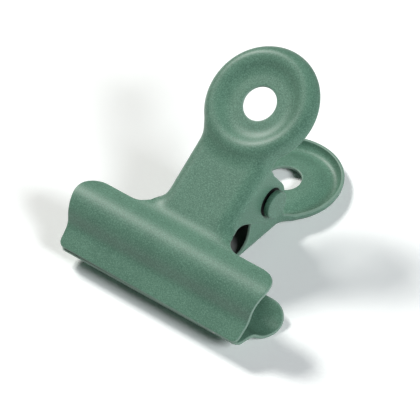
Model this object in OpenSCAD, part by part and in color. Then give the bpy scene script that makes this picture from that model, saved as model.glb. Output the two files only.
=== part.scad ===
// Letter clip: two sprung leaves of painted steel sheet on one hinge pin.
// Each leaf is one pressing: lip, humped jaw, neck with two bent ears, and a dished thumb pad.
// The leaves are drawn about the hinge axis, with X along the pin and Y toward the pads,
// and the finished clip is then set down on its rear leaf.

/* [Sheet] */
// Thickness of the steel sheet
sheet_t = 0.6; // [0.5:0.05:0.7]

/* [Jaws] */
// Width of a jaw along its lip
lip_w = 38; // [32:0.5:44]
// Width of a jaw behind its crest, where the ends have flared out
jaw_w = 41; // [34:0.5:47]
// Distance from the hinge axis to the lips
lip_reach = 25.3; // [24.5:0.1:27]
// Depth of a jaw from its lip to its back edge
jaw_depth = 12; // [11:0.1:13]
// Length of the flat lip plate
lip_len = 3; // [2.5:0.1:3.5]
// Angle between the lip plate and the middle of the clip
lip_angle = 23.4; // [20:0.1:27]
// Radius of the bend behind the lip
lip_bend_r = 3; // [2.5:0.1:3.5]
// Angle of the jaw's front slope
front_angle = 59; // [55:0.5:63]
// Length of the straight part of the front slope
front_len = 0.9; // [0.6:0.1:1.4]
// Radius of the hump
hump_r = 4.5; // [4.2:0.1:4.9]
// Angle at which the jaw falls to the neck
back_angle = 23.5; // [20:0.5:26]
// Length of the straight part of the back slope
back_len = 1.1; // [0.8:0.1:1.6]
// Radius of the corners at the lip
lip_corner_r = 1.5; // [1:0.1:2]
// Radius of the corners at the back of the jaw
jaw_corner_r = 4.8; // [3.5:0.1:5.5]
// Gap left between the closed lips
lip_gap = 0.06; // [0.04:0.01:0.2]

/* [Neck and ears] */
// Radius of the bend where the jaw turns up into the neck
root_r = 4; // [3.5:0.1:4.6]
// Angle between the neck and the middle of the clip
neck_tilt = 17.3; // [16:0.1:19]
// Width over the outer pair of ears
ear_w = 14.4; // [13:0.1:16]
// Gap between an outer ear and the inner ear beside it
ear_gap = 0.15; // [0.1:0.05:0.25]
// Outside radius of the bend from the neck into an ear
ear_bend_r = 2.5; // [2:0.1:2.8]
// Radius of an ear round the pin
ear_r = 3.7; // [3.5:0.1:4]
// Lean of an ear's front edge from square to the neck
ear_lean = 25.5; // [22:0.5:28]
// Depth of the skirt that joins an ear to the jaw
skirt_depth = 3; // [2.7:0.1:3.3]
// Length of the skirt's lower edge
skirt_len = 1.6; // [1.2:0.1:2]
// Radius of the fillet from the jaw's back edge into the neck
root_fillet_r = 4; // [3.5:0.1:4.5]

/* [Thumb pads] */
// Distance from the hinge axis to the middle of a pad, along the neck
pad_reach = 12.85; // [12.4:0.05:14]
// Radius of the hanging hole
hole_r = 3.05; // [2.6:0.05:3.5]
// Radius of the raised ring, measured to its crest
crest_r = 8.35; // [8:0.05:8.8]
// Depth of the dish below the crest
dish_depth = 1.05; // [0.8:0.05:1.2]
// Bend radius of the dish's inner wall
wall_r = 3.2; // [2.8:0.1:3.6]
// Bend radius of the rolled rim
curl_r = 1.85; // [1.7:0.05:2]
// Angle through which the rim is rolled down from the crest
curl_angle = 78; // [70:1:84]

/* [Pin and spring] */
// Radius of the hinge pin
pin_r = 2.5; // [2.3:0.05:2.6]
// Length of the hinge pin
pin_len = 17.4; // [16.5:0.1:19]
// Rounding of the pin's ends
pin_round = 0.45; // [0.3:0.05:0.6]
// Clearance of the outer ears round the pin
outer_ear_play = 0.35; // [0.1:0.05:0.4]
// Diameter of the spring wire
wire_d = 1; // [0.8:0.05:1.1]
// Whole turns of the spring
coil_turns = 6; // [4:1:6]
// Clearance of the coil round the pin
coil_play = 0.1; // [0.1:0.05:0.3]
// Clearance between the coil and each inner ear
coil_side_gap = 0.4; // [0.3:0.05:0.6]
// Angle of the spring's legs to the middle of the clip
leg_angle = 45; // [40:1:50]
// Clearance between a leg's tip and the neck it pushes
leg_gap = 0.1; // [0.05:0.05:0.3]

/* [Hidden] */

paint = [0.38, 0.51, 0.45];
spring_black = [0.14, 0.14, 0.15];

// Steps in one bend of the sheet, and in full turns of round shapes
bend_steps = 14;
round_steps = 96;
// Rings to a turn and sides of the spring's tube
coil_rings = 8;
wire_sides = 6;
// How far a cutting shape runs past what it cuts
overrun = 1;

// A path in a plane is a list of [point, heading], and these add to its end
function heading(a) = [cos(a), sin(a)];
function normal(a) = [-sin(a), cos(a)];
function last(path) = path[len(path) - 1];
function go(path, run) =
    let (end = last(path))
    concat(path, [[end[0] + run * heading(end[1]), end[1]]]);
function bend(path, r, turn) =
    let (end = last(path), side = sign(turn), centre = end[0] + side * r * normal(end[1]))
    concat(path, [for (i = [1:bend_steps])
        let (a = end[1] + turn * i / bend_steps)
        [centre - side * r * normal(a), a]]);
// The outline of a sheet whose middle follows a path
function sheet(path) = concat(
    [for (p = path) p[0] + sheet_t / 2 * normal(p[1])],
    [for (i = [len(path) - 1:-1:0]) path[i][0] - sheet_t / 2 * normal(path[i][1])]);
// Points on an arc
function arc(centre, r, from, to) =
    [for (i = [0:bend_steps]) centre + r * heading(from + (to - from) * i / bend_steps)];
function mirrored(points) = concat(points, [for (i = [len(points) - 1:-1:0]) [-points[i].x, points[i].y]]);

// Side view of the jaw, from the lip to the start of the neck
lip_start = [[-lip_reach, lip_gap / 2] + sheet_t / 2 * normal(lip_angle), lip_angle];
front_path = go(bend(go([lip_start], lip_len), lip_bend_r, front_angle - lip_angle), front_len);
hump_centre = last(front_path)[0] - hump_r * normal(front_angle);
back_path = go(bend(front_path, hump_r, -front_angle - back_angle), back_len);
root_path = bend(back_path, root_r, back_angle + neck_tilt);

// The neck's own plane lies this far above the hinge axis, and the root ends here along it
neck_h = last(root_path)[0] * normal(neck_tilt);
root_u = last(root_path)[0] * heading(neck_tilt);

// Plan of the jaw
back_y = jaw_depth - lip_reach;
fillet_y = back_y + root_fillet_r;
fillet_u = (fillet_y + neck_h * sin(neck_tilt)) / cos(neck_tilt);
jaw_path = go(root_path, fillet_u - root_u);

// Side view of an ear in the neck's own plane: the skirt's lower edge and its front end
skirt_h = neck_h + sheet_t / 2 - skirt_depth;
ear_front = (ear_r + skirt_h * sin(ear_lean)) / cos(ear_lean);
skirt_front = ear_front + skirt_len;

// Section of a thumb pad, from the hole to the rim
wall_angle = acos(1 - dish_depth / (2 * wall_r));
floor_r = crest_r - 2 * wall_r * sin(wall_angle);
wall_path = bend(bend(go([[[hole_r, 0], 0]], floor_r - hole_r), wall_r, wall_angle), wall_r, -wall_angle);
pad_path = bend(wall_path, curl_r, -curl_angle);
rim_r = max([for (p = sheet(pad_path)) p.x]);
// Where the rolled rim crosses the neck's plane, so that the neck can end inside its wall
rim_cross_r = crest_r + curl_r * sqrt(1 - pow(1 - dish_depth / curl_r, 2)) - sheet_t / 4;

// Ears: the front leaf's pair lies outside the rear leaf's pair
outer_half = ear_w / 2;
inner_half = outer_half - sheet_t - ear_gap;

// The clip stands on the rear leaf's hump and on the crest of the rear pad
function in_clip(u, h) = u * heading(neck_tilt) + h * normal(neck_tilt);
curl_centre = in_clip(pad_reach + crest_r, neck_h + dish_depth - curl_r);
stand = curl_centre - hump_centre;
stand_tilt = atan2(stand.y, stand.x) + asin((curl_r - hump_r) / norm(stand));
leaf_edge = concat(sheet(jaw_path), [for (p = sheet(pad_path)) in_clip(pad_reach + p.x, neck_h + p.y)]);
clip_edge = concat(leaf_edge, [for (p = leaf_edge) [p.x, -p.y]]);
stood_y = [for (p = clip_edge) p.x * cos(stand_tilt) - p.y * sin(stand_tilt)];
stood_z = [for (p = clip_edge) p.x * sin(stand_tilt) + p.y * cos(stand_tilt)];
hinge_y = -(min(stood_y) + max(stood_y)) / 2;
hinge_z = -min(stood_z);

// Spring: its coil's radius keeps the flats between the rings off the pin
coil_r = (pin_r + coil_play + wire_d / 2) / cos(180 / coil_rings);
coil_len = 2 * (inner_half - sheet_t - coil_side_gap) - wire_d;
coil_sweep = 360 * coil_turns + 180 - 2 * leg_angle;
coil_steps = ceil(coil_sweep * coil_rings / 360);
coil_start = 270 - leg_angle;
coil_rise = coil_len / (coil_r * coil_sweep * PI / 180);
leg_foot = coil_r * heading(leg_angle + 90);
leg_run = (neck_h - (sheet_t + wire_d) / 2 - leg_gap - leg_foot * normal(neck_tilt))
    / (heading(leg_angle) * normal(neck_tilt));
function coil_angle(i) = coil_start - coil_sweep * i / coil_steps;
function coil_point(i) =
    [coil_len * (i / coil_steps - 1 / 2), coil_r * cos(coil_angle(i)), coil_r * sin(coil_angle(i))];
// One ring of the tube at a point, square to the wire's direction
function wire_ring(point, a, rise) =
    let (ahead = [rise, sin(a), -cos(a)] / norm([rise, 1]), out = [0, cos(a), sin(a)], across = cross(ahead, out))
    [for (k = [0:wire_sides - 1])
        point + wire_d / 2 * (cos(360 * k / wire_sides) * out + sin(360 * k / wire_sides) * across)];
function leg_tip(i, way) = coil_point(i) + way * leg_run * [0, sin(coil_angle(i)), -cos(coil_angle(i))];
spring_rings = concat(
    [wire_ring(leg_tip(0, -1), coil_angle(0), 0)],
    [for (i = [0:coil_steps]) wire_ring(coil_point(i), coil_angle(i), i == 0 || i == coil_steps ? 0 : coil_rise)],
    [wire_ring(leg_tip(coil_steps, 1), coil_angle(coil_steps), 0)]);
coil_gaps = [for (i = [0:coil_steps], j = [i + coil_rings / 2:coil_steps])
    norm(coil_point(i) - coil_point(j)) - wire_d];

echo(least_spring_gap = min(coil_gaps));
echo(hinge_y = hinge_y, hinge_z = hinge_z, stand_tilt = stand_tilt);
echo(neck_h = neck_h, coil_len = coil_len, rim_r = rim_r, floor_r = floor_r);

// Places what is drawn about the hinge axis on the ground
module stood() translate([0, hinge_y, hinge_z]) rotate([stand_tilt, 0, 0]) children();

// Turns what is drawn in the neck's own plane to the neck's tilt
module along_neck() rotate([neck_tilt, 0, 0]) children();

// Extrudes a side view, drawn as (Y, Z), across the whole width
module across(width) rotate([90, 0, 90]) linear_extrude(width, center = true) children();

// Jaw, its bend into the neck and the webs beside it
module jaw(half) {
    plan = concat(
        arc([lip_w / 2 - lip_corner_r, lip_start[0].x - sheet_t / 2 + lip_corner_r], lip_corner_r, 270, 360),
        arc([jaw_w / 2 - jaw_corner_r, back_y - jaw_corner_r], jaw_corner_r, 0, 90),
        arc([half + root_fillet_r, fillet_y], root_fillet_r, 270, 180),
        [[half - ear_bend_r, fillet_y + ear_bend_r], [half - ear_bend_r, fillet_y + 2 * ear_bend_r]]);
    intersection() {
        across(jaw_w + overrun) polygon(sheet(jaw_path));
        translate([0, 0, -overrun]) linear_extrude(lip_reach) polygon(mirrored(plan));
    }
}

// Flat of the neck, which ends inside the pad's rolled rim; behind the ears its sides
// curve out and run tangent to the rim
module neck(half) {
    flat = half - ear_bend_r;
    reach = pad_reach - ear_r;
    fillet_r = (pow(half, 2) + pow(reach, 2) - pow(rim_r, 2)) / (2 * (rim_r - half));
    meet = atan2(reach, -half - fillet_r);
    plan = concat(
        [[flat, fillet_u], [flat, ear_r]],
        arc([half + fillet_r, ear_r], fillet_r, 180, meet),
        [[hole_r, pad_reach]]);
    translate([0, 0, neck_h - sheet_t / 2])
        difference() {
            linear_extrude(sheet_t) polygon(mirrored(plan));
            translate([0, pad_reach, -overrun]) cylinder(h = sheet_t + 2 * overrun, r = rim_cross_r, $fn = round_steps);
        }
}

// Middle of the neck with the bends and ears on both its sides, without their holes
module ears(half) {
    bend_r = ear_bend_r - sheet_t / 2;
    drop = neck_h + ear_r - bend_r;
    left = bend(go([[[sheet_t / 2 - half, -ear_r], 90]], drop), bend_r, -90);
    channel = go(bend(go(left, 2 * (half - ear_bend_r)), bend_r, -90), drop);
    side = concat(
        [[ear_r, neck_h + overrun]],
        arc([0, 0], ear_r, 0, -90 - ear_lean),
        [[-ear_front, skirt_h], [-skirt_front, skirt_h], [-skirt_front - skirt_depth, neck_h + overrun]]);
    intersection() {
        translate([0, ear_r + overrun, 0])
            rotate([90, 0, 0])
                linear_extrude(2 * overrun + ear_r + skirt_front + skirt_depth) polygon(sheet(channel));
        across(2 * half + overrun) polygon(side);
    }
}

// Dished pad with its hanging hole; the rim is cut away below the neck that carries it
module pad(half) {
    difference() {
        translate([0, pad_reach, neck_h]) rotate_extrude($fn = round_steps) polygon(sheet(pad_path));
        translate([-half, pad_reach - rim_r - overrun, neck_h - sheet_t / 2 - rim_r])
            cube([2 * half, rim_r + overrun - crest_r, rim_r]);
    }
}

// One leaf above the middle of the clip, with its ears this far out and bored for the pin
module leaf(half, bore_r) {
    difference() {
        union() {
            jaw(half);
            along_neck() {
                neck(half);
                ears(half);
                pad(half);
            }
        }
        rotate([0, 90, 0]) cylinder(h = 2 * half + 2 * overrun, r = bore_r, center = true, $fn = round_steps);
    }
}

module front_leaf() {
    color(paint) stood() leaf(outer_half, pin_r + outer_ear_play);
}

module rear_leaf() {
    color(paint) stood() mirror([0, 0, 1]) leaf(inner_half, pin_r);
}

// Solid pin, pressed into the rear leaf's ears, with rounded ends
module hinge_pin() {
    half = pin_len / 2;
    side = concat(
        [[0, -half]],
        arc([pin_r - pin_round, pin_round - half], pin_round, -90, 0),
        arc([pin_r - pin_round, half - pin_round], pin_round, 0, 90),
        [[0, half]]);
    color(paint) stood() rotate([0, 90, 0]) rotate_extrude($fn = round_steps) polygon(side);
}

// Spring coiled on the pin, with a leg that pushes each neck outward
module torsion_spring() {
    ends = len(spring_rings) - 1;
    walls = [for (i = [0:ends - 1], k = [0:wire_sides - 1])
        let (a = i * wire_sides + k, b = i * wire_sides + (k + 1) % wire_sides)
        each [[a, b, b + wire_sides], [a, b + wire_sides, a + wire_sides]]];
    first_cap = [for (k = [wire_sides - 1:-1:0]) k];
    last_cap = [for (k = [0:wire_sides - 1]) ends * wire_sides + k];
    color(spring_black) stood()
        polyhedron([for (ring = spring_rings) each ring], concat([first_cap], walls, [last_cap]));
}

front_leaf();
rear_leaf();
hinge_pin();
torsion_spring();
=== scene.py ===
"""Letter clip of painted sheet steel: two pressed leaves, a hinge pin and a coil spring on a white table.

Sizes are in millimetres until a mesh is made. The clip is drawn about the hinge axis, with X along the
pin, Y from the lips to the thumb pads and Z from the rear leaf to the front leaf. It is then tipped on to
the table as it lies. A leaf is drawn flat first, as the blank is cut: x across it, and u along it from
the hinge axis. The press then gives each point of the blank its place in space.
"""
from math import acos, asin, atan2, cos, pi, radians, sin, tan

import bpy
import numpy as np
from mathutils import Matrix, Vector
from mathutils.geometry import delaunay_2d_cdt


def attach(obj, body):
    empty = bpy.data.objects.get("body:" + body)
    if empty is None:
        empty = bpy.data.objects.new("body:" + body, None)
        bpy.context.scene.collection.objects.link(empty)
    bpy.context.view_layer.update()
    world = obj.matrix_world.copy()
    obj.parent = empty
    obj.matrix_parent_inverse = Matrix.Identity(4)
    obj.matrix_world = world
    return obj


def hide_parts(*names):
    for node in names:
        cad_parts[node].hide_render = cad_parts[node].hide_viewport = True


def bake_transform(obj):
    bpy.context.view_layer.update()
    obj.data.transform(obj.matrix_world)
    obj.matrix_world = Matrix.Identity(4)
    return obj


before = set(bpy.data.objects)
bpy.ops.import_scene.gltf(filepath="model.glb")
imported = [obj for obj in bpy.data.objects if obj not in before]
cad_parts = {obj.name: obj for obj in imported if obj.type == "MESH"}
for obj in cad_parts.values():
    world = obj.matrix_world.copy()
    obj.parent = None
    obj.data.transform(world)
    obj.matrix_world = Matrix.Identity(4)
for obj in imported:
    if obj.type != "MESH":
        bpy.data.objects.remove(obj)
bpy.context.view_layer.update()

# Sheet, and the round of its cut edges
sheet = 0.6
edge_round = 0.2
edge_fullness = 0.7

# Jaw: the lips, the sides that widen behind them and the back corners
lip_reach = 25.3
lip_gap = 0.06
lip_tilt = radians(23.4)
lip_half = 19.0
lip_corner = 1.2
lip_flare = 0.14
lip_flare_run = 6
lip_open_run = 4.5
lip_cut_run = 3
side_slope = 0.0658
side_curve = 0.00849
side_aim = 3
side_start = 2.5
side_step = 0.5
jaw_run = 14.28
jaw_corner = 5.05

# Thumb pad: the hanging hole, the dish, its crest and the shoulder towards the neck
pad_reach = 12.85
hole_r = 3.05
crest_r = 8.33
dish_depth = 1.05
wall_low_r = 4.2
wall_high_r = 2.4
curl_r = 1.85
shoulder_turn = radians(30)

# Ears, the folds that carry them and end at the jaw's wings, and the waist behind them
ear_r = 3.78
ear_corner = 0.25
ear_flat_past = (3.0, 5.5)
ear_flat_end = 0.8
fold_start = -11.0
fold_full = -6.8
wing_u = (-9.6, -10.8)
wing_x = (8.2, 10.6)
waist_u = 2.5
waist_first = 0.06
waist_points = 12

# Hinge pin, with a groove behind each painted end
pin_r = 2.5
pin_half = 8.7
pin_round = 0.3
end_rings = (0.5, 1.0, 1.5, 1.85)
shaft_rings = (6, 4, 2)
groove_r = 1.9
groove_start = 7.22
groove_start_round = 0.05
groove_end = 7.6
groove_end_round = 0.08

# Spring: its coil, its wire and its legs
coil_r = 3.2
coil_half = 4.95
coil_start = radians(225)
coil_sweep = radians(2250)
coil_rings = 176
wire_r = 0.5
wire_tip = [0.36, 0.47]
leg_run = 8.75
leg_rings = [0.33 * leg_run, 0.66 * leg_run, leg_run - 0.4, leg_run - 0.12, leg_run]

# Mesh steps: along edges and arcs, round a cut edge, in rows and circles on a leaf, and round the tubes
edge_step = 0.3
arc_step = radians(6)
edge_rows = 6
row_step = 0.4
row_start = 12.6
circle_step = 0.45
circle_start = 0.3
circle_gap = 0.35
circle_end = 12.5
least_gap = 0.6 * row_step
pin_sides = 72
wire_sides = 14

# Wear of the coat, and a painted edge highlight: beside a leaf's cut edges, and round the rims of the pin's
# ends
wear_and_highlight_most = 0.6
wear_and_highlight_reach = 1.5
rim_inset = 0.13
rim_wear_and_highlight_reach = 0.4

# The clip as it lies
stand_tilt = radians(14.6157)
hinge_place = (0.0, 0.966424, 10.1997)

# Camera, lamps and table, in metres
camera_back = Vector((0.469056, -0.536053, 0.701879))
camera_roll = radians(-3.1244)
camera_place = (0.258562, -0.301895, 0.396854)
lamp_distance = 0.8
lamp_aim = Vector((0, 0, 0.01))
table_half = 3


def bend(radius, turn):
    """Length and curvature of a bend. A negative radius turns down."""
    return abs(radius) * radians(turn), 1 / radius


def follow(across, up, heading, curvature, length):
    """End of an arc that starts at a place with a heading. No curvature gives a straight line."""
    middle = curvature * length / 2
    chord = length * np.sinc(middle / pi)
    way = heading + middle
    return across + chord * np.cos(way), up + chord * np.sin(way), heading + 2 * middle


def jaw_stations(runs):
    """Where each run of the jaw's section starts: distance along it, place, heading and curvature."""
    y = -lip_reach - sin(lip_tilt) * sheet / 2
    z = lip_gap / 2 + cos(lip_tilt) * sheet / 2
    along, heading, rows = 0.0, lip_tilt, []
    for length, curvature in runs:
        rows.append((along, y, z, heading, curvature))
        y, z, heading = (float(value) for value in follow(y, z, heading, curvature, length))
        along += length
    return np.array(rows)


stations = jaw_stations([
    (3.0, 0),           # lip
    bend(3.0, 35.6),
    (0.9, 0),           # front wall
    bend(-4.5, 82.5),   # hump
    (1.1, 0),           # back wall
    bend(4.0, 40.8),    # root
    (60, 0),            # neck, and on through the pad
])
neck_start, neck_y, neck_z, neck_heading, _ = stations[-1]
lip_u = -(neck_start - neck_y * cos(neck_heading) - neck_z * sin(neck_heading))
neck_height = neck_z * cos(neck_heading) - neck_y * sin(neck_heading)


def ease(value, start, end):
    """Smooth step from 0 at the start to 1 at the end."""
    t = np.clip((value - start) / (end - start), 0, 1)
    return t * t * (3 - 2 * t)


def fall(radius, run):
    """How far a round surface falls over a run from its level point."""
    return radius - np.sqrt(np.maximum(radius**2 - np.clip(run, 0, None)**2, 0))


def dish(r):
    """Height of the pad's dish above its floor, out to the crest."""
    turn = acos(1 - dish_depth / (wall_low_r + wall_high_r))
    floor_r = crest_r - (wall_low_r + wall_high_r) * sin(turn)
    low = fall(wall_low_r, r - floor_r)
    high = dish_depth - fall(wall_high_r, crest_r - r)
    return np.where(r < crest_r - wall_high_r * sin(turn), low, high)


def shoulder(r):
    """Height of the shoulder that runs from the crest down to the neck."""
    hollow_r = dish_depth / (1 - cos(shoulder_turn)) - curl_r
    end_r = crest_r + (curl_r + hollow_r) * sin(shoulder_turn)
    high = dish_depth - fall(curl_r, r - crest_r)
    low = fall(hollow_r, end_r - r)
    return np.where(r < crest_r + curl_r * sin(shoulder_turn), high, low)


def jaw_half(run):
    """Half the jaw's width at a distance behind the lips' edge."""
    return lip_half + side_slope * run + side_curve * run**2 + lip_flare * (1 - ease(run, 0, lip_flare_run))


def lip_shift(amount, x, u, run):
    """A shift that is given at the middle of the lip with its growth across, and fades out over a run."""
    middle, growth = amount
    return (middle + growth * x) * (1 - ease(u - lip_u, 0, run))


class Leaf:
    """One pressed leaf, drawn as the front one. The rear one is turned over last.

    side is 1 for the front leaf and -1 for the rear leaf. half is half the neck's width over its folds, and
    fold_r the radius of the folds outside. rim holds the radius and the turn of the rim's two bends. pad_u is
    the middle of the pad's round form. bore is the radius of the ears' holes, and lean how far their front
    edge leans. notch says how far across the notch before the ear starts, and its round. skirt says how far
    below the neck the ear's front edge starts, and its round there. waist_wall is the wall's depth where the
    waist starts. lip_open lifts the lip, and lip_cut takes its edge in.
    """

    def __init__(self, side, half, fold_r, rim, pad_u, bore, lean, notch, skirt, waist_wall,
                 lip_open=(0, 0), lip_cut=(0, 0)):
        self.side = side
        self.flat = half - fold_r
        self.fold_r = fold_r - sheet / 2
        self.fold_run = self.fold_r * pi / 2
        self.rim = [(r * radians(turn), radians(turn)) for r, turn in rim]
        self.rim_run = self.rim[0][0] + self.rim[1][0]
        self.pad_u = pad_u
        self.bore = bore
        self.lean = radians(lean)
        self.notch = notch
        self.skirt = skirt
        self.lip_open = lip_open
        self.lip_cut = lip_cut
        self.ear_x = self.at_drop(neck_height)
        self.waist_r = ((self.pad_u - waist_u)**2 / (crest_r - self.flat) - crest_r - self.flat) / 2
        self.waist_x = self.flat + self.waist_r
        self.waist_turn = atan2(self.pad_u - waist_u, self.waist_x)
        self.waist_wall = waist_wall

    def at_drop(self, drop):
        """How far across the blank the points lie that the folds bring to a drop below the neck."""
        return self.flat + self.fold_run + drop - self.fold_r

    def walls(self, across, u):
        """How far blank points lie past the line where the walls start, the way out, and the rim's share.

        The line runs along the neck, round the waist and round the crest of the pad.
        """
        from_waist = across - self.waist_x, u - waist_u
        from_pad = across, u - self.pad_u
        waist = np.hypot(*from_waist) + 1e-9
        pad = np.hypot(*from_pad) + 1e-9
        turned = np.arctan2(from_waist[1], -from_waist[0])
        zones = [u <= waist_u, turned > self.waist_turn]
        past = np.select(zones, [across - self.flat, pad - crest_r], self.waist_r - waist)
        out_x = np.select(zones, [1, from_pad[0] / pad], -from_waist[0] / waist)
        out_u = np.select(zones, [0, from_pad[1] / pad], -from_waist[1] / waist)
        rim = np.where(u <= waist_u, 0, ease(turned, 0, self.waist_turn))
        return past, out_x, out_u, rim

    def press(self, across, u, past, out_x, out_u, rim):
        """Places of blank points of the right half, from how far past the start of the walls they lie."""
        past = np.clip(past, 0, None)
        fold = ease(u, fold_start, fold_full) * (1 - ease(u, *wing_u) * ease(across, *wing_x)) * pi / 2
        wall, left = (0.0, 0.0, 0.0), past
        for rim_length, rim_turn in self.rim:
            length = (1 - rim) * self.fold_run / 2 + rim * rim_length
            turn = (1 - rim) * fold / 2 + rim * rim_turn
            wall = follow(*wall, turn / length, np.minimum(left, length))
            left = np.clip(left - length, 0, None)
        wall = follow(*wall, 0.0, left)
        r = np.hypot(across - rim * past * out_x, u - rim * past * out_u - self.pad_u)
        rise = np.where(r < crest_r, dish(r), shoulder(r)) - wall[1]
        across = across + (wall[0] - past) * out_x
        along = u + (wall[0] - past) * out_u
        start = np.searchsorted(stations[:, 0], along - lip_u, side="right") - 1
        at, y, z, heading, curvature = stations[np.clip(start, 0, len(stations) - 1)].T
        y, z, heading = follow(y, z, heading, curvature, along - lip_u - at)
        return np.column_stack([across, y - rise * np.sin(heading), z + rise * np.cos(heading)])

    def mid(self, x, u):
        """Places of blank points on the middle of the sheet. The ears stay flat past the waist's start."""
        across = np.abs(x)
        past = across - self.flat
        pressed = self.press(across, u, *self.walls(across, u))
        ear = self.press(across, u, past, 1, 0, 0)
        share = ease(past, *ear_flat_past) * (1 - ease(u, ear_r, ear_r + ear_flat_end))
        places = pressed + (ear - pressed) * share[:, None]
        places[:, 0] *= np.sign(x)
        places[:, 2] += lip_shift(self.lip_open, x, u, lip_open_run)
        return places

    def face(self, blank, height):
        """Places of blank points at a height over the middle of the sheet."""
        x, u = blank.T
        step = 0.01
        slope_x = self.mid(x + step, u) - self.mid(x - step, u)
        slope_u = self.mid(x, u + step) - self.mid(x, u - step)
        normal = np.cross(slope_x, slope_u)
        normal /= np.linalg.norm(normal, axis=1, keepdims=True)
        return (self.mid(x, u) + height * normal) * (1, 1, self.side)

    def ear_edge(self):
        """Edge of the blank from the jaw's back edge, through the notch and round the ear."""
        back = lip_u + jaw_run
        foot = np.array([self.ear_x + ear_r * sin(self.lean), -ear_r * cos(self.lean)])
        slope = np.array([-cos(self.lean), -sin(self.lean)])
        heel = foot + slope * (foot[0] - self.at_drop(self.skirt[0])) / cos(self.lean)
        notch = (self.notch[0], back)
        points = rounded((lip_half, back), notch, heel, self.notch[1])
        points += rounded(notch, heel, foot, self.skirt[1])
        return points + arc((self.ear_x, 0), ear_r, self.lean - pi / 2, pi / 2)

    def waist_edge(self):
        """Edge of the blank from the back of the ear, along the waist, to the pad's rim."""
        reach = self.waist_r - self.waist_wall
        first = asin((ear_r - waist_u) / reach)
        corner = (self.waist_x - reach * cos(first), ear_r)
        points = []
        for share in np.linspace(waist_first, 1, waist_points):
            a = first + (self.waist_turn - first) * share
            r = reach - (self.rim_run - self.waist_wall) * share
            points.append((self.waist_x - r * cos(a), waist_u + r * sin(a)))
        return rounded((self.ear_x, ear_r), corner, points[0], ear_corner) + points

    def pad_edge(self):
        """Edge of the blank along the pad's rim, to its far point."""
        start = atan2(waist_u - self.pad_u, self.waist_x)
        return arc((0, self.pad_u), crest_r + self.rim_run, start, pi / 2)

    def blank_edge(self):
        """Outline of the blank, as it is cut before it is pressed."""
        right = np.array(jaw_edge() + self.ear_edge() + self.waist_edge() + self.pad_edge())
        ring = np.vstack([right, right[-2:0:-1] * (-1, 1)])
        ring[:, 1] += lip_shift(self.lip_cut, *ring.T, lip_cut_run)
        return ring

    def rings(self):
        """Closed lines of the blank's edge, its hanging hole and its two bores."""
        holes = [((0, pad_reach), hole_r), ((self.ear_x, 0), self.bore), ((-self.ear_x, 0), self.bore)]
        circles = [circle(centre, radius, 2 * pi, 0, edge_step) for centre, radius in holes]
        return [evenly(self.blank_edge(), edge_step)] + circles


def arc(centre, radius, start, end):
    """Points of an arc, about one arc step apart."""
    x, y = centre
    count = max(2, round(abs(end - start) / arc_step))
    return [(x + radius * cos(a), y + radius * sin(a)) for a in np.linspace(start, end, count + 1)]


def circle(centre, radius, start, end, step):
    """A whole circle from a start angle to an end angle, cut into equal steps."""
    return evenly(arc(centre, radius, start, end)[:-1], step)


def rounded(before, point, after, radius):
    """Arc that rounds the corner of a line at a point."""
    before, point, after = np.array(before), np.array(point), np.array(after)
    back = (before - point) / np.linalg.norm(before - point)
    on = (after - point) / np.linalg.norm(after - point)
    half = acos(np.clip(back @ on, -1, 1)) / 2
    centre = point + (back + on) / np.linalg.norm(back + on) * radius / sin(half)
    first = point + back * radius / tan(half) - centre
    last = point + on * radius / tan(half) - centre
    start = atan2(first[1], first[0])
    turn = (atan2(last[1], last[0]) - start + pi) % (2 * pi) - pi
    return arc(centre, radius, start, start + turn)


def jaw_edge():
    """Edge of the blank from the middle of the lip, round the right side of the jaw to its back edge."""
    aim = (jaw_half(side_aim), lip_u + side_aim)
    turned = jaw_run - jaw_corner
    points = [(0, lip_u)] + rounded((0, lip_u), (jaw_half(0), lip_u), aim, lip_corner)
    points += [(jaw_half(run), lip_u + run) for run in np.arange(side_start, turned, side_step)]
    for a in np.linspace(0, pi / 2, 15):
        run = turned + jaw_corner * sin(a)
        points.append((jaw_half(run) - jaw_corner * (1 - cos(a)), lip_u + run))
    return points


def evenly(points, step):
    """A closed line cut into equal steps."""
    closed = np.vstack([points, points[:1]])
    run = np.r_[0, np.cumsum(np.linalg.norm(np.diff(closed, axis=0), axis=1))]
    at = np.linspace(0, run[-1], round(run[-1] / step), endpoint=False)
    return np.column_stack([np.interp(at, run, closed[:, i]) for i in range(2)])


def outward(ring):
    """Directions out of the sheet along a closed line that has the sheet on its left."""
    along = np.roll(ring, -1, axis=0) - np.roll(ring, 1, axis=0)
    along /= np.linalg.norm(along, axis=1, keepdims=True)
    return np.column_stack([along[:, 1], -along[:, 0]])


def within(points, rings):
    """Which points lie inside the first ring and outside the others."""
    lines = np.vstack(rings)
    ends = np.vstack([np.roll(ring, -1, axis=0) for ring in rings])
    x, u = points[:, :1], points[:, 1:]
    spans = (lines[:, 1] > u) != (ends[:, 1] > u)
    climb = np.where(spans, ends[:, 1] - lines[:, 1], 1)
    cut = lines[:, 0] + (u - lines[:, 1]) * (ends[:, 0] - lines[:, 0]) / climb
    return (spans & (x < cut)).sum(axis=1) % 2 == 1


def inner_points(rings):
    """Points inside the rings, in circles on the pad and in rows elsewhere, and how far in each lies."""
    lines = np.vstack(rings)
    xs = np.arange(0, lines[:, 0].max(), row_step)
    us = np.arange(lines[:, 1].min(), pad_reach, row_step)
    rows = np.array([(x, u) for x in np.r_[-xs[:0:-1], xs] for u in us])
    rows = rows[np.hypot(rows[:, 0], rows[:, 1] - pad_reach) > row_start]
    radii = np.arange(hole_r + circle_start, circle_end, circle_gap)
    points = np.vstack([rows] + [circle((0, pad_reach), r, 0, 2 * pi, circle_step) for r in radii])
    gap = np.hypot(lines[:, 0] - points[:, :1], lines[:, 1] - points[:, 1:]).min(axis=1)
    keep = within(points, rings) & (gap > least_gap)
    return points[keep], gap[keep]


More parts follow.
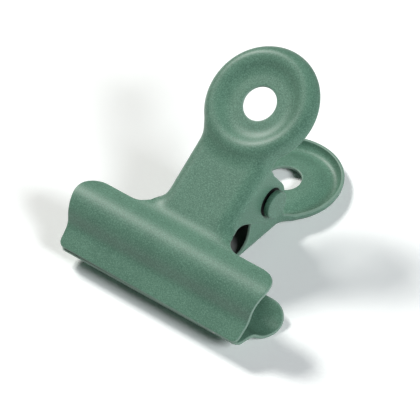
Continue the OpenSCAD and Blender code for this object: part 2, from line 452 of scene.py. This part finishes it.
def fill(rings):
    """A flat mesh within the rings: its points, its triangles, where each ring lies in it, and its edge wear
    and painted edge highlight.
    """
    inner, gap = inner_points(rings)
    starts = np.cumsum([0] + [len(ring) for ring in rings])
    lines = [(s + k, s + (k + 1) % len(ring)) for s, ring in zip(starts, rings) for k in range(len(ring))]
    points = [Vector(point) for point in np.vstack(rings + [inner])]
    flat, _, triangles, sources, _, _ = delaunay_2d_cdt(points, lines, [], 2, 1e-6)
    flat = np.array([tuple(point) for point in flat])
    triangles = np.array(triangles)
    triangles = triangles[within(flat[triangles].mean(axis=1), rings)].tolist()
    spot = {old: new for new, olds in enumerate(sources) for old in olds}
    loops = [[spot[start + k] for k in range(len(ring))] for start, ring in zip(starts, rings)]
    wear_and_highlight = np.full(len(flat), wear_and_highlight_most)
    for k, distance in enumerate(gap):
        wear_and_highlight[spot[starts[-1] + k]] = wear_and_highlight_most * max(0.0, 1 - distance / wear_and_highlight_reach)
    return flat, triangles, loops, wear_and_highlight


def add_mesh(name, places, faces, edge, finish):
    """A smooth mesh object from places in millimetres, tipped on to the table, with its edge attribute."""
    mesh = bpy.data.meshes.new(name)
    mesh.from_pydata((np.array(places) / 1000).tolist(), [], faces)
    mesh.transform(Matrix.Translation(Vector(hinge_place) / 1000) @ Matrix.Rotation(stand_tilt, 4, "X"))
    mesh.attributes.new("edge", "FLOAT", "POINT").data.foreach_set("value", np.array(edge, dtype=float))
    mesh.shade_smooth()
    mesh.materials.append(finish)
    piece = bpy.data.objects.new(name, mesh)
    bpy.context.scene.collection.objects.link(piece)
    return piece


def press_leaf(name, leaf, finish):
    """Solid mesh of a leaf: two faces, and a rounded edge between them round every ring."""
    rings = leaf.rings()
    shrunk = [ring - edge_round * outward(ring) for ring in rings]
    flat, triangles, loops, wear_and_highlight = fill(shrunk)
    count = len(flat)
    places = [leaf.face(flat, sheet / 2), leaf.face(flat, -sheet / 2)]
    edge = [wear_and_highlight, wear_and_highlight]
    faces = []
    for a, b, c in triangles:
        (ax, au), (bx, bu), (cx, cu) = flat[a], flat[b], flat[c]
        if (bx - ax) * (cu - au) < (bu - au) * (cx - ax):
            b, c = c, b
        faces += [(a, b, c), (a + count, c + count, b + count)]
    total = 2 * count
    for loop, ring, small in zip(loops, rings, shrunk):
        rows = [loop]
        for turn in np.linspace(0, pi, edge_rows + 2)[1:-1]:
            reach = sin(turn)**edge_fullness
            height = sheet / 2 * np.sign(cos(turn)) * abs(cos(turn))**edge_fullness
            places.append(leaf.face(small + (ring - small) * reach, height))
            edge.append(np.ones(len(ring)))
            rows.append(range(total, total + len(ring)))
            total += len(ring)
        rows.append([spot + count for spot in loop])
        for upper, lower in zip(rows, rows[1:]):
            for k in range(len(ring)):
                on = (k + 1) % len(ring)
                faces.append((upper[k], lower[k], lower[on], upper[on]))
    if leaf.side < 0:
        faces = [face[::-1] for face in faces]
    return add_mesh(name, np.vstack(places), faces, np.concatenate(edge), finish)


def tube(centres, outs, acrosses, radii, sides):
    """Places and faces of a tube through rings, closed with a point at each end."""
    turns = np.arange(sides) * 2 * pi / sides
    places = [centre + r * (cos(a) * out + sin(a) * across)
              for centre, out, across, r in zip(centres, outs, acrosses, radii) for a in turns]
    faces = []
    for ring in range(len(centres) - 1):
        for k in range(sides):
            a, b = ring * sides + k, ring * sides + (k + 1) % sides
            faces.append((a, b, b + sides, a + sides))
    first, last = len(places), len(places) + 1
    places += [centres[0], centres[-1]]
    end = (len(centres) - 1) * sides
    faces += [(first, (k + 1) % sides, k) for k in range(sides)]
    faces += [(last, end + k, end + (k + 1) % sides) for k in range(sides)]
    return places, faces


def rim_wear_and_highlight(x, y, z):
    """Wear and painted edge highlight of the pin's coat at a place, most round the rims of its ends."""
    from_rim = np.hypot(abs(x) - pin_half + rim_inset, np.hypot(y, z) - pin_r + rim_inset)
    return max(0.0, 1 - from_rim / rim_wear_and_highlight_reach)


def turned_pin(finish):
    """The hinge pin, turned, with rounded ends and a groove behind each of them."""
    end = [(pin_half, r) for r in end_rings]
    end += [(pin_half - pin_round * (1 - sin(a)), pin_r - pin_round * (1 - cos(a)))
            for a in np.linspace(pi / 2, 0, 9)]
    groove = [(groove_end + groove_end_round, pin_r), (groove_end, pin_r - groove_end_round),
              (groove_end, groove_r), (groove_start, groove_r),
              (groove_start, pin_r - groove_start_round), (groove_start - groove_start_round, pin_r)]
    half = end + groove + [(x, pin_r) for x in shaft_rings]
    profile = half + [(0, pin_r)] + [(-x, r) for x, r in half[::-1]]
    centres = [np.array([x, 0, 0]) for x, _ in profile]
    outs = [np.array([0, 1, 0])] * len(profile)
    acrosses = [np.array([0, 0, -1])] * len(profile)
    places, faces = tube(centres, outs, acrosses, [r for _, r in profile], pin_sides)
    return add_mesh("clip_hinge_pin", places, faces, [rim_wear_and_highlight(*place) for place in places], finish)


def coil_spring(finish):
    """The torsion spring: a coil on the pin, and a straight leg from each end to a neck."""
    turns = coil_start - coil_sweep * np.linspace(0, 1, coil_rings)
    xs = np.linspace(-coil_half, coil_half, coil_rings)
    coil = np.column_stack([xs, coil_r * np.cos(turns), coil_r * np.sin(turns)])
    outs = np.column_stack([0 * xs, np.cos(turns), np.sin(turns)])
    ahead = np.column_stack([0 * xs, np.sin(turns), -np.cos(turns)])
    rear = [coil[0] - ahead[0] * run for run in leg_rings[::-1]]
    front = [coil[-1] + ahead[-1] * run for run in leg_rings]
    centres = np.vstack([rear, coil, front])
    outs = np.vstack([[outs[0]] * len(rear), outs, [outs[-1]] * len(front)])
    ahead = np.gradient(centres, axis=0)
    ahead /= np.linalg.norm(ahead, axis=1, keepdims=True)
    acrosses = np.cross(ahead, outs)
    acrosses /= np.linalg.norm(acrosses, axis=1, keepdims=True)
    radii = wire_tip + [wire_r] * (len(centres) - 2 * len(wire_tip)) + wire_tip[::-1]
    places, faces = tube(centres, outs, acrosses, radii, wire_sides)
    return add_mesh("clip_torsion_spring", places, faces, np.zeros(len(places)), finish)


class Value:
    """An output socket. Arithmetic on it adds Math nodes to its tree."""

    def __init__(self, output):
        self.output = output

    def math(self, operation, *values):
        node = self.output.id_data.nodes.new("ShaderNodeMath")
        node.operation = operation
        for socket, value in zip(node.inputs, values):
            feed(socket, value)
        return Value(node.outputs[0])

    def __add__(self, other):
        return self.math("ADD", self, other)

    def __sub__(self, other):
        return self.math("SUBTRACT", self, other)

    def __rsub__(self, other):
        return self.math("SUBTRACT", other, self)

    def __mul__(self, other):
        return self.math("MULTIPLY", self, other)

    def __abs__(self):
        return self.math("ABSOLUTE", self)

    __radd__ = __add__
    __rmul__ = __mul__


def feed(socket, value):
    """Links a value to a socket, or sets the socket's own number or colour."""
    if isinstance(value, Value):
        socket.id_data.links.new(value.output, socket)
    else:
        socket.default_value = value


class Finish:
    """A material and its nodes."""

    def __init__(self, name):
        self.material = bpy.data.materials.new(name)
        self.material.use_nodes = True
        self.nodes = self.material.node_tree.nodes
        self.nodes.clear()

    def node(self, kind, settings=None, sockets=None, output=0):
        """Adds a node with its settings and its sockets' values or links, and gives one of its outputs."""
        made = self.nodes.new(kind)
        for setting, value in (settings or {}).items():
            setattr(made, setting, value)
        for socket, value in (sockets or {}).items():
            feed(made.inputs[socket], value)
        return Value(made.outputs[output]) if len(made.outputs) else None

    def place(self):
        return self.node("ShaderNodeTexCoord", output="Object")

    def parts(self, vector):
        made = self.node("ShaderNodeSeparateXYZ", None, {0: vector}).output.node
        return [Value(output) for output in made.outputs]

    def noise(self, scale, detail=2.0, roughness=0.5):
        return self.node("ShaderNodeTexNoise", None, {
            "Vector": self.place(), "Scale": scale, "Detail": detail, "Roughness": roughness}, "Fac")

    def step(self, value, start, end, low=0.0, high=1.0):
        return self.node("ShaderNodeMapRange", {"interpolation_type": "SMOOTHSTEP"}, {
            "Value": value, "From Min": start, "From Max": end, "To Min": low, "To Max": high})

    def mix(self, factor, first, second):
        """Mix of two colours. The node takes them at its sockets 6 and 7, and gives it at its output 2."""
        return self.node("ShaderNodeMix", {"data_type": "RGBA"}, {0: factor, 6: first, 7: second}, 2)

    def bump(self, height, distance, strength):
        return self.node("ShaderNodeBump", None, {
            "Height": height, "Distance": distance, "Strength": strength})

    def surface(self, shader):
        """The finished material, with its shader."""
        self.node("ShaderNodeOutputMaterial", None, {"Surface": shader})
        return self.material


def colour(red, green, blue):
    """Scene colour of an sRGB colour of 0 to 255."""
    parts = [channel / 255 for channel in (red, green, blue)]
    return tuple(p / 12.92 if p <= 0.04045 else ((p + 0.055) / 1.055)**2.4 for p in parts) + (1.0,)


def shade_under_spring(coat):
    """Mask of the rear leaf's inside under the spring, where a neutral grey is painted as shade. Its steps
    run from the coat to the painted shade, in metres.
    """
    x, y, z = coat.parts(coat.place())
    mask = coat.step(abs(x), 0.00598, 0.00586) * coat.step(z, 0.0022, 0.0024)
    mask = mask * coat.step(y, -0.0102, -0.0076) * coat.step(y, 0.0058, 0.0022)
    return mask * coat.step(z, 0.011, 0.0082)


def powder_coat(coat):
    """Shader of the matte sage-green powder coat on steel.

    It is speckled and a little chipped at the cut edges. It is lighter there, partly from a thinner coat and
    partly as a painted edge highlight. Under the spring it carries a neutral grey as painted shade.
    """
    edge = coat.node("ShaderNodeAttribute", {"attribute_name": "edge"}, output="Fac")
    cloud = coat.noise(140, 3, 0.55)
    speckle = coat.noise(5000, 1, 0.5)
    grain = coat.noise(7000, 2, 0.65)
    base = coat.mix(coat.step(cloud, 0.36, 0.64), colour(90, 127, 109), colour(97, 135, 116))
    base = coat.mix(coat.step(speckle, 0.5, 0.7) * 0.9, base, colour(113, 153, 134))
    base = coat.mix(coat.step(speckle, 0.5, 0.3) * 0.9, base, colour(79, 116, 99))
    # The cut edges are lighter: partly a thinner coat, partly a painted edge highlight.
    thin_coat_and_edge_highlight = coat.step(edge + 0.25 * (cloud - 0.5), 0.62, 0.98)
    base = coat.mix(thin_coat_and_edge_highlight * 0.45, base, colour(150, 173, 161))
    # Painted shade: a neutral grey over the coat on the rear leaf's inside under the spring.
    base = coat.mix(shade_under_spring(coat) * 0.93, base, colour(118, 115, 116))
    chips = coat.step(edge * 0.72 + coat.noise(700, 2, 0.6) * 0.75, 1.27, 1.31)
    base = coat.mix(chips * 0.8, base, colour(200, 205, 200))
    return coat.node("ShaderNodeBsdfPrincipled", None, {
        "Base Color": base,
        "Roughness": coat.step(speckle, 0.3, 0.7, 0.41, 0.5),
        "Normal": coat.bump(grain * 0.75 + speckle * 0.5, 0.00004, 0.55),
    })


def green_paint(name):
    """The powder coat of the leaves."""
    coat = Finish(name)
    return coat.surface(powder_coat(coat))


def pin_paint(name):
    """The same coat on the ends of the pin. Behind them the pin is coloured near black, a painted shade for
    the deep shade in its grooves.
    """
    coat = Finish(name)
    x, _, _ = coat.parts(coat.place())
    # Painted shade: the pin behind its painted ends is coloured near black.
    groove_mask = coat.step(abs(x), (groove_end + 0.02) / 1000, (groove_end - 0.04) / 1000)
    groove_shade = coat.node("ShaderNodeBsdfPrincipled", None, {
        "Base Color": coat.mix(coat.noise(900), colour(12, 13, 13), colour(22, 23, 23)),
        "Roughness": 0.7,
    })
    return coat.surface(coat.node("ShaderNodeMixShader", None, {0: groove_mask, 1: powder_coat(coat), 2: groove_shade}))


def black_steel(name):
    """Dark phosphated spring wire, with patches worn a little brighter."""
    coat = Finish(name)
    cloud = coat.noise(700, 3, 0.6)
    grain = coat.noise(6000, 2, 0.6)
    return coat.surface(coat.node("ShaderNodeBsdfPrincipled", None, {
        "Base Color": coat.mix(coat.step(cloud, 0.35, 0.7), colour(44, 44, 47), colour(66, 66, 69)),
        "Metallic": 0.75,
        "Roughness": coat.step(cloud, 0.3, 0.7, 0.4, 0.56),
        "Normal": coat.bump(grain, 0.00002, 0.4),
    }))


def white_table(name):
    """White paper of the table. To the camera and in gloss it is brighter, and keeps the shadow."""
    coat = Finish(name)
    seen = coat.node("ShaderNodeLightPath", output="Is Camera Ray")
    for ray in ("Is Glossy Ray", "Is Transmission Ray"):
        seen = seen.math("MAXIMUM", seen, coat.node("ShaderNodeLightPath", output=ray))
    fibre = coat.step(coat.noise(2600, 2, 0.6), 0.3, 0.7)
    bright = coat.mix(fibre, (1.07, 1.08, 1.09, 1), (1.17, 1.18, 1.18, 1))
    tone = coat.mix(seen, (0.7, 0.7, 0.7, 1), bright)
    return coat.surface(coat.node("ShaderNodeBsdfDiffuse", None, {"Color": tone}))


def add_camera():
    """Camera at the photograph's viewing angle."""
    camera = bpy.data.objects.new("camera", bpy.data.cameras.new("camera"))
    camera.data.sensor_width = 36
    camera.data.lens = 282.132
    camera.data.clip_start = 0.05
    turn = (-camera_back).to_track_quat("-Z", "Y").to_matrix() @ Matrix.Rotation(camera_roll, 3, "Z")
    camera.matrix_world = Matrix.Translation(camera_place) @ turn.to_4x4()
    bpy.context.scene.collection.objects.link(camera)
    bpy.context.scene.camera = camera


def add_lamp(name, bearing, height, size, power, tint):
    """Square soft lamp that faces the clip, at a bearing and a height in degrees."""
    lamp = bpy.data.lights.new(name, "AREA")
    lamp.size = size
    lamp.energy = power
    lamp.color = tint
    holder = bpy.data.objects.new(name, lamp)
    level = cos(radians(height))
    away = Vector((level * cos(radians(bearing)), level * sin(radians(bearing)), sin(radians(height))))
    turn = (-away).to_track_quat("-Z", "Y").to_matrix()
    holder.matrix_world = Matrix.Translation(away * lamp_distance + lamp_aim) @ turn.to_4x4()
    bpy.context.scene.collection.objects.link(holder)
    return holder


def light_scene():
    """Two soft lamps, one at each side of the clip, and faint pale surroundings."""
    world = bpy.data.worlds.new("studio")
    world.use_nodes = True
    background = world.node_tree.nodes["Background"]
    background.inputs["Color"].default_value = (0.94, 0.98, 1.0, 1)
    background.inputs["Strength"].default_value = 0.025
    bpy.context.scene.world = world
    add_lamp("left_lamp", bearing=172, height=46, size=0.21, power=5.5, tint=(1.0, 1.0, 0.965))
    right = add_lamp("right_lamp", bearing=-8.5, height=35, size=0.26, power=4.9, tint=(0.95, 0.985, 1.0))
    right.visible_glossy = False


def lay_table():
    """Floor that the clip lies on."""
    far = table_half
    mesh = bpy.data.meshes.new("table")
    mesh.from_pydata([(-far, -far, 0), (far, -far, 0), (far, far, 0), (-far, far, 0)], [], [(0, 1, 2, 3)])
    mesh.materials.append(white_table("white_paper"))
    table = bpy.data.objects.new("table", mesh)
    bpy.context.scene.collection.objects.link(table)


def build_clip():
    """The clip's own pieces, on the bodies that carry them."""
    front_shape = Leaf(
        side=1, half=7.2, fold_r=2.5, rim=((1.35, 45), (3.0, 34)), pad_u=13.01, bore=2.62, lean=24.3,
        notch=(8.72, 3.87), skirt=(1.37, 3.63), waist_wall=3.2)
    rear_shape = Leaf(
        side=-1, half=6.45, fold_r=1.4, rim=((1.75, 74), (4.6, 8)), pad_u=12.85, bore=2.5, lean=12.7,
        notch=(6.5, 0.8), skirt=(0.74, 3.8), waist_wall=2.5, lip_open=(0.1, -0.006), lip_cut=(0.11, 0.0065))
    paint = green_paint("sage_powder_coat")
    front = press_leaf("clip_front_leaf", front_shape, paint)
    rear = press_leaf("clip_rear_leaf", rear_shape, paint)
    pin = turned_pin(pin_paint("sage_pin_coat"))
    spring = coil_spring(black_steel("black_spring_steel"))
    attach(front, "front")
    for piece in (rear, pin):
        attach(piece, "rear")
    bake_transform(spring)
    for piece, node, slot in ((front, "front_leaf", "paint"), (rear, "rear_leaf", "paint"),
                              (pin, "hinge_pin", "pin_paint"), (spring, "torsion_spring", "spring_wire")):
        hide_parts(node)


scene = bpy.context.scene
scene.view_settings.view_transform = "Standard"
add_camera()
light_scene()
lay_table()
build_clip()
